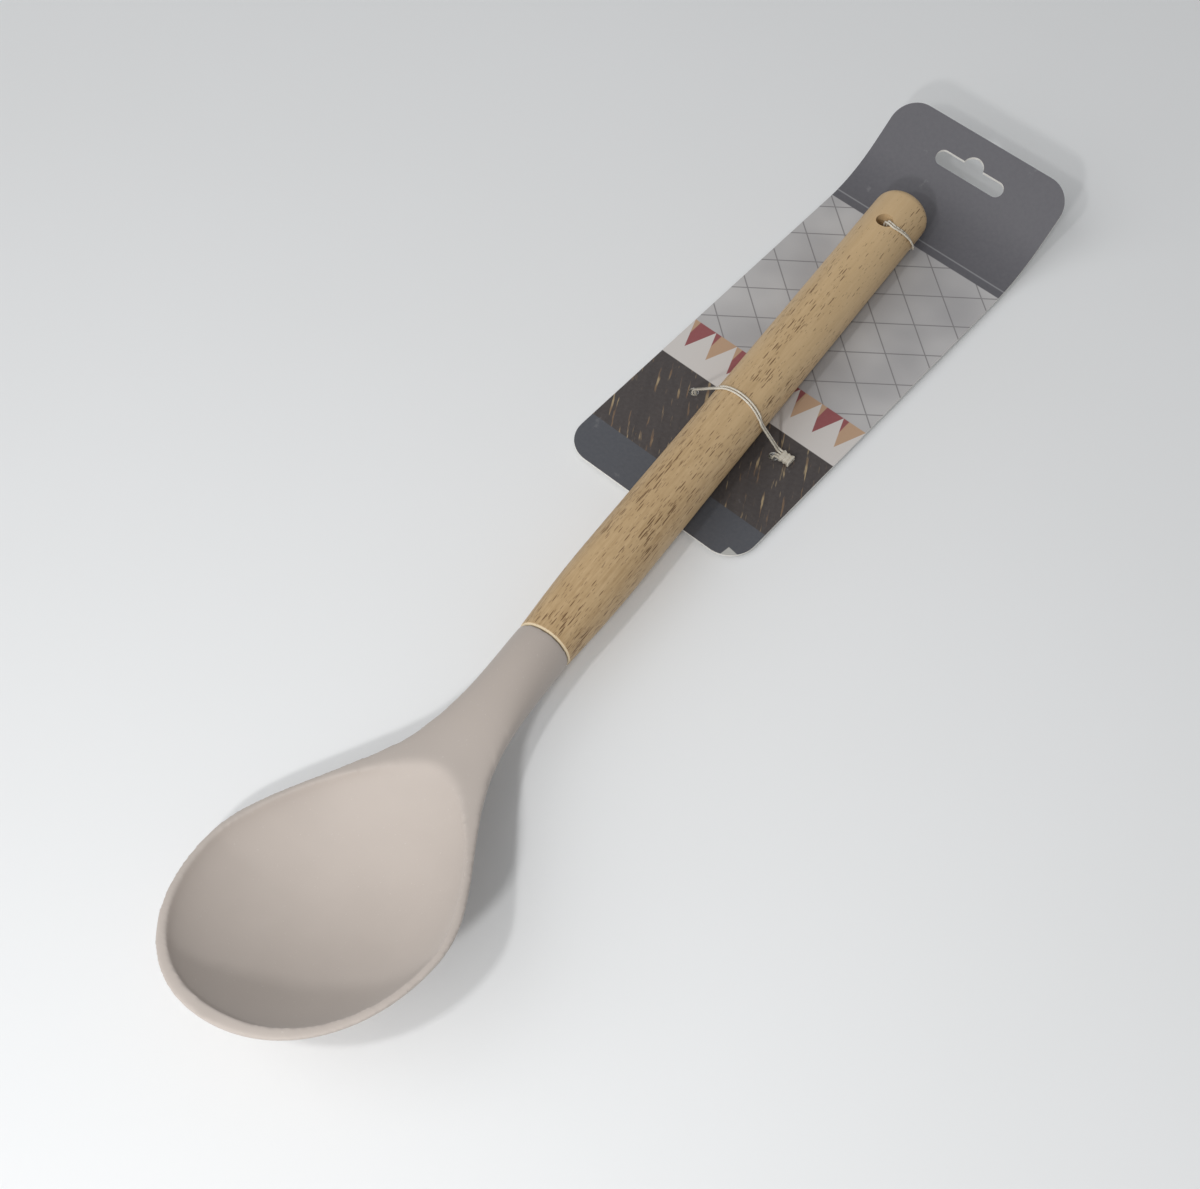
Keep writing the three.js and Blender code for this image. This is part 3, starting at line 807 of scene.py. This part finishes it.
# %% [markdown]
# The lower tie runs from its crimp on the card's front over the handle, down a hole on the left, behind the
# card and up a hole on the right, back to the crimp. The upper one comes up through the hanging hole,
# crosses the right flank and goes through the card to a crimp behind it. Both are lists of corners.

# %% Tie routes
LOWER_LEFT = Vector((-15, 40, CARD_TOP))
LOWER_RIGHT = Vector((17, 38.2, CARD_TOP))
LOWER_LOOP_AT = 34.5
CRIMP_HEIGHT = 1.4
INTO_CRIMP = 3
STRAND_OFFSET = 0.9
UPPER_SLANT = 0.8
UPPER_DRIFT = 8.0
UPPER_FLANK = 4.5
UPPER_CRIMP_AT = 144.8
TURN_FROM = math.radians(68)


def lower_route():
    joint = spoon_point(0, 0, 0)
    centre = joint + axis_on_card * (LOWER_LOOP_AT - joint.y) / axis_on_card.y
    left = LOWER_LEFT + Vector((0, 0, 2 * BEHIND_CARD))
    lead = LOWER_RIGHT + Vector((0, 0, CRIMP_HEIGHT))
    into_crimp = Vector((INTO_CRIMP, 0, 0))
    strand = Vector((0, STRAND_OFFSET, 0))
    turn_end = leaving_angle(centre, left, -1) + 2 * math.pi
    over = round_handle(centre, centre, leaving_angle(centre, lead, 1), turn_end)
    under_left = Vector((left.x, left.y, BEHIND_CARD))
    under_right = Vector((lead.x, lead.y - STRAND_OFFSET, BEHIND_CARD))
    return [lead + strand + into_crimp, lead + strand, *over, left, under_left, under_right, lead - strand,
            lead - strand + into_crimp]


def upper_route():
    centre = spoon_point(0, HANG_HOLE_AT, 0)
    flank_centre = spoon_point(0, HANG_HOLE_AT + UPPER_DRIFT, 0)
    flank = Vector((flank_centre.x + UPPER_FLANK, flank_centre.y, CARD_TOP))
    over = round_handle(centre, flank_centre, TURN_FROM, leaving_angle(flank_centre, flank, 1))
    under = spoon_point(-UPPER_SLANT, HANG_HOLE_AT, -TURN_RADIUS)
    crimp = Vector((centre.x + UPPER_FLANK / 2, UPPER_CRIMP_AT, CRIMP_HEIGHT - SEAT_GAP))
    strand = Vector((STRAND_OFFSET, 0, 0))
    return [crimp - strand, Vector((under.x, under.y, BEHIND_CARD)),
            spoon_point(UPPER_SLANT, HANG_HOLE_AT, TURN_RADIUS), *over, flank,
            Vector((flank.x, flank.y, BEHIND_CARD)), crimp + strand]


print("route points", len(lower_route()), len(upper_route()))

# %% [markdown]
# A strand could be swept by hand, but a curve with a round bevel does it: its points are the route with
# every corner rounded, once for each strand, set off to either side of the route and level with the card.

# %% Tie strands
CORNER_REACH = 1.6
CORNER_STEPS = 4


def rounded(route):
    points = [route[0]]
    for before, at, after in zip(route, route[1:], route[2:]):
        into = before - at
        out_of = after - at
        start = at + into.normalized() * min(CORNER_REACH, into.length / 2)
        end = at + out_of.normalized() * min(CORNER_REACH, out_of.length / 2)
        for i in range(CORNER_STEPS + 1):
            t = i / CORNER_STEPS
            points.append(start.lerp(at, t).lerp(at.lerp(end, t), t))
    return points + [route[-1]]


def asides(route):
    """Level direction square to the route at each point, kept from the point before on steep stretches"""
    way = Vector((0, 1, 0))
    for before, after in zip([route[0]] + route, route[1:] + [route[-1]]):
        level = Vector((before.y - after.y, after.x - before.x, 0))
        if level.length > 0.5 * (after - before).length:
            way = level.normalized() if level.dot(way) > 0 else -level.normalized()
        yield way


def strand_pair(node, route):
    curve = bpy.data.curves.new(node, "CURVE")
    curve.dimensions = "3D"
    curve.bevel_depth = STRAND_RADIUS * MM
    curve.bevel_resolution = 3
    curve.use_fill_caps = True
    points = rounded(route)
    for side in (-STRAND_SPREAD, STRAND_SPREAD):
        spline = curve.splines.new("POLY")
        spline.points.add(len(points) - 1)
        for point, spot, aside in zip(spline.points, points, asides(points)):
            point.co = (*(card_frame @ (spot + side * aside) * MM), 1.0)
    holder = bpy.data.objects.new(node, curve)
    scene.collection.objects.link(holder)
    strands = bpy.data.objects.new(node + "_strands", settled(holder))
    bpy.data.objects.remove(holder)
    scene.collection.objects.link(strands)
    for face in strands.data.polygons:
        face.use_smooth = True
    strands.data.materials.clear()
    strands.data.materials.append(clear)
    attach(strands, "card")
    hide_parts(node)
    return strands


lower_strands = strand_pair("lower_tie", lower_route())
upper_strands = strand_pair("upper_tie", upper_route())
print("strands", len(lower_strands.data.polygons), len(upper_strands.data.polygons))

# %% [markdown]
# A short plastic sleeve is squeezed over the ends of each tie. A block is cut into slices, two of the cuts
# are pinched, and a bevel rounds it into a sleeve with two crimped waists.

# %% Crimp sleeves
CRIMP_SIZE = Vector((3.7, 3.2, 2.1)) * MM
CRIMP_SLICES = 6
PINCHED_CUTS = (2, 4)
PINCH = 0.76


def crimp(name, node, long_axis, wide_axis):
    low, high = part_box(node)
    mesh = bmesh.new()
    bmesh.ops.create_cube(mesh, size=1)
    lengthwise = [e for e in mesh.edges if abs(e.verts[0].co.x - e.verts[1].co.x) > 0.5]
    bmesh.ops.subdivide_edges(mesh, edges=lengthwise, cuts=CRIMP_SLICES - 1)
    for vertex in mesh.verts:
        cut_number = round((vertex.co.x + 0.5) * CRIMP_SLICES)
        if cut_number in PINCHED_CUTS:
            vertex.co.y *= PINCH
            vertex.co.z *= PINCH
    bmesh.ops.bevel(
        mesh, geom=mesh.edges[:], offset=0.06, segments=2, profile=0.5, affect="EDGES", material=-1)
    size = Matrix.Diagonal(CRIMP_SIZE).to_4x4()
    turn = Matrix((long_axis, wide_axis, Vector((0, 0, 1)))).transposed().to_4x4()
    mesh.transform(Matrix.Translation((low + high) / 2) @ turn @ size)
    bmesh.ops.recalc_face_normals(mesh, faces=mesh.faces)
    crease(mesh, degrees=60)
    piece = new_piece(name, mesh, "card", clear)
    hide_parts(node)
    return piece


ACROSS_CARD = card_frame.to_3x3() @ Vector((1, 0, 0))
ALONG_CARD = card_frame.to_3x3() @ Vector((0, 1, 0))
lower_crimp = crimp("lower_crimp_sleeve", "lower_tie_crimp", ACROSS_CARD, ALONG_CARD)
upper_crimp = crimp("upper_crimp_sleeve", "upper_tie_crimp", ALONG_CARD, -ACROSS_CARD)
print("crimps", len(lower_crimp.data.polygons), len(upper_crimp.data.polygons))
